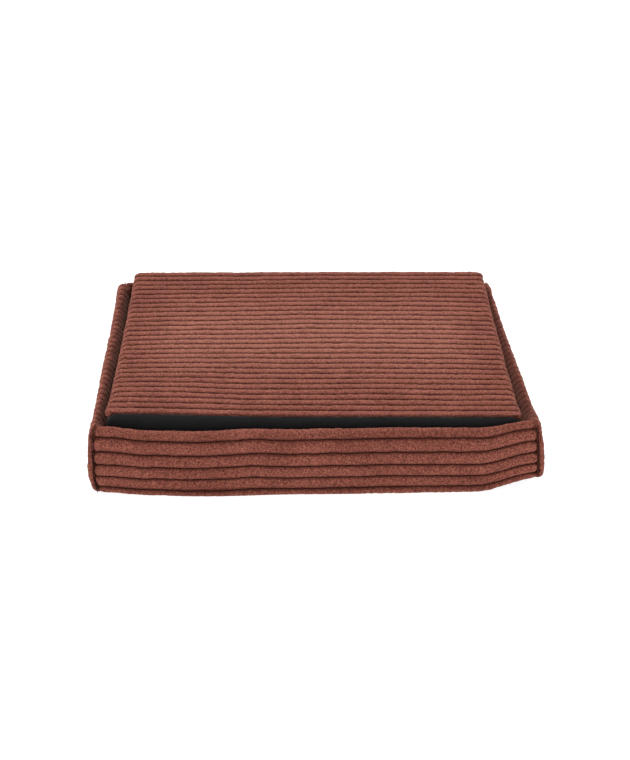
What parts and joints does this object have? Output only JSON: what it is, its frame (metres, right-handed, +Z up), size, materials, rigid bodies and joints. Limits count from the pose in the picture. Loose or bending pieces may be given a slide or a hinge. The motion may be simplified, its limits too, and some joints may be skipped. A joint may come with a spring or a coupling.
{
  "type": "pet cushion bed",
  "caption": "Square corduroy pet bed: a low tray with padded walls, and a loose foam box cushion with a zipped cover that lies in it.",
  "frame": {"origin": "on the floor under the middle of the tray", "axes": "+Z up, the front wall faces -Y, the zip runs along X on the cushion's +Y side"},
  "size_m": [0.45, 0.45, 0.088],
  "materials": {
    "corduroy": "matte",
    "plain_fabric": "matte",
    "non_slip_fabric": "matte",
    "foam": "matte",
    "wadding": "matte",
    "zip_tape": "matte",
    "zip_coil": "satin",
    "zip_metal": "satin"
  },
  "bodies": {
    "tray": {"base_fabric": "non_slip_fabric", "base_pad": "foam", "floor_lining": "plain_fabric", "front_foam": "foam", "back_foam": "foam", "left_foam": "foam", "right_foam": "foam", "front_band": "corduroy", "back_band": "corduroy", "left_band": "corduroy", "right_band": "corduroy", "corner_seams": "corduroy"},
    "cushion": {"cushion_top": "corduroy", "cushion_bottom": "plain_fabric", "gusset": "plain_fabric", "zip_facing": "plain_fabric", "foam_core": "foam", "wadding": "wadding", "foam_liner": "wadding", "zip_tape_upper": "zip_tape", "zip_tape_lower": "zip_tape", "zip_coil_upper": "zip_coil", "zip_coil_lower": "zip_coil", "zip_stops": "zip_metal"},
    "slider": {"zip_slider": "zip_metal"},
    "pull": {"zip_pull": "zip_metal"}
  },
  "joints": [
    {"name": "cushion_lift", "type": "slide", "parent": "tray", "child": "cushion", "axis": [0, 0, 1], "range_m": [0, 0.12]},
    {"name": "zip_travel", "type": "slide", "parent": "cushion", "child": "slider", "axis": [-1, 0, 0], "range_m": [0, 0.344]},
    {"name": "pull_swing", "type": "hinge", "parent": "slider", "child": "pull", "pos_m": [0.172, 0.21, 0.076], "axis": [0, 0, -1], "range_deg": [0, 180]}
  ]
}
